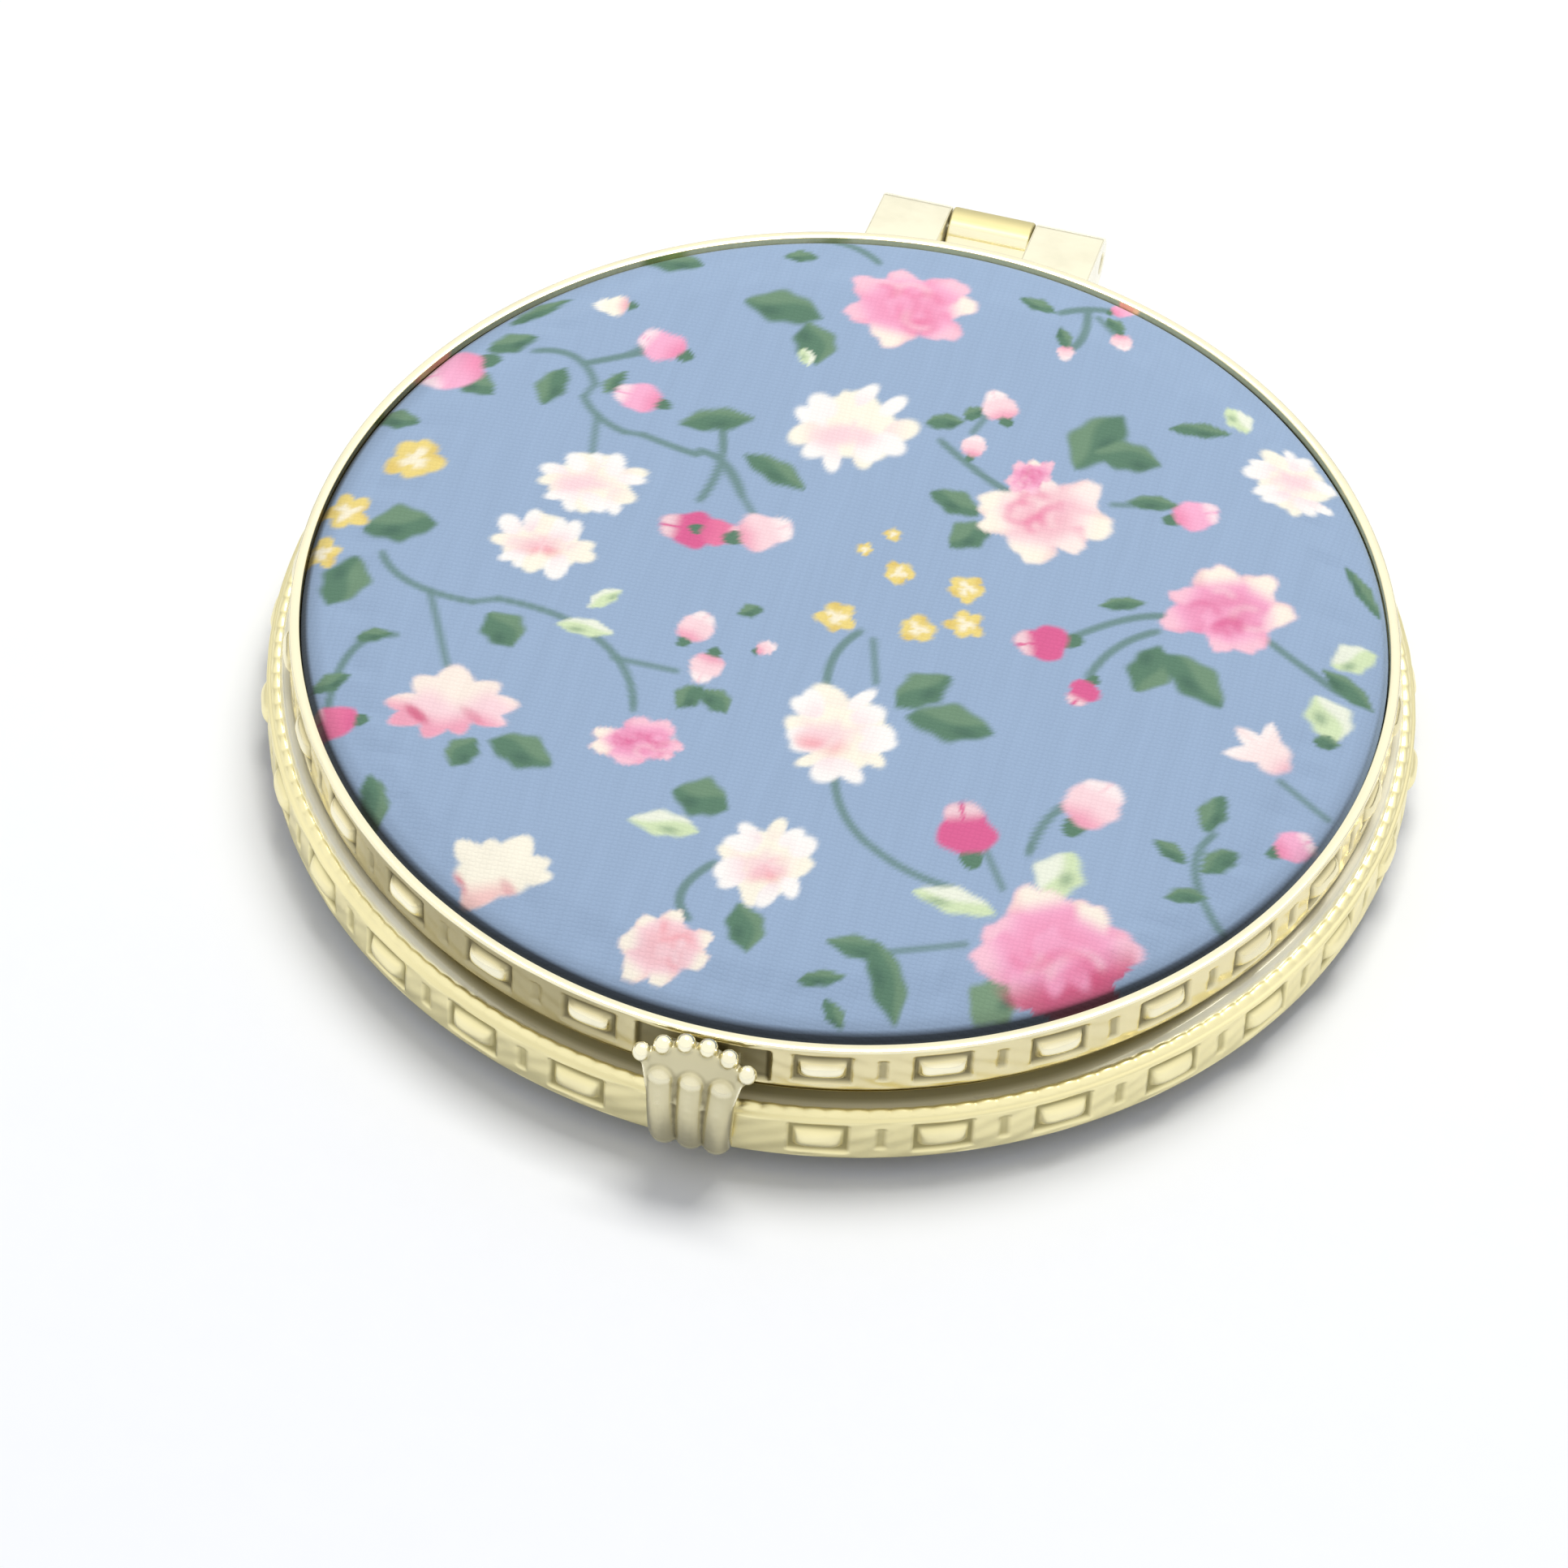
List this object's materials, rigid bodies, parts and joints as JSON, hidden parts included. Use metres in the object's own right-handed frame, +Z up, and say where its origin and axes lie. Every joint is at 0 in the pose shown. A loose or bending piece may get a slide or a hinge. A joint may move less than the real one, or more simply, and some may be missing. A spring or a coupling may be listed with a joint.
{
  "type": "compact mirror",
  "caption": "Round hinged pocket mirror: cloth-covered padded halves in embossed metal rims, a mirror inside each, barrel hinge at the back and a shell-shaped snap clasp at the front.",
  "frame": {"origin": "centre of the shut case on the table, in the flat of the base's crown", "axes": "+Z up through the lid, +Y towards the hinge, -Y towards the clasp"},
  "size_m": [0.0716, 0.0782, 0.0108],
  "materials": {
    "rim_metal": "pale gold plating, polished, darker in the embossed grooves",
    "bezel_metal": "pale gold plating, polished",
    "clasp_metal": "pale gold plating, satin",
    "pin_metal": "drawn wire, plated",
    "board": "grey-brown board",
    "card": "white card",
    "foam": "soft open-cell foam",
    "printed_cloth": "plain-weave cotton, printed with small flowers on blue",
    "tape": "double-sided foam tape",
    "silvering": "silvering with its back paint",
    "mirror_glass": "clear flat glass"
  },
  "bodies": {
    "base": {"base_rim": "rim_metal", "base_board": "board", "base_pad": "foam", "base_cover": "printed_cloth", "base_backing_card": "card", "base_mirror_tape": "tape", "base_mirror_silvering": "silvering", "base_mirror_glass": "mirror_glass", "base_bezel": "bezel_metal"},
    "lid": {"lid_rim": "rim_metal", "lid_board": "board", "lid_pad": "foam", "lid_cover": "printed_cloth", "lid_backing_card": "card", "lid_mirror_tape": "tape", "lid_mirror_silvering": "silvering", "lid_mirror_glass": "mirror_glass", "lid_bezel": "bezel_metal", "hinge_pin": "pin_metal", "clasp_pin": "pin_metal"},
    "clasp": {"clasp_shell": "clasp_metal"}
  },
  "joints": [
    {"name": "lid_hinge", "type": "hinge", "parent": "base", "child": "lid", "pos_m": [0, 0.0391, 0.00565], "axis": [-1, 0, 0], "range_deg": [0, 180]},
    {"name": "clasp_swing", "type": "hinge", "parent": "lid", "child": "clasp", "pos_m": [0, -0.03495, 0.00775], "axis": [-1, 0, 0], "range_deg": [0, 20]}
  ]
}
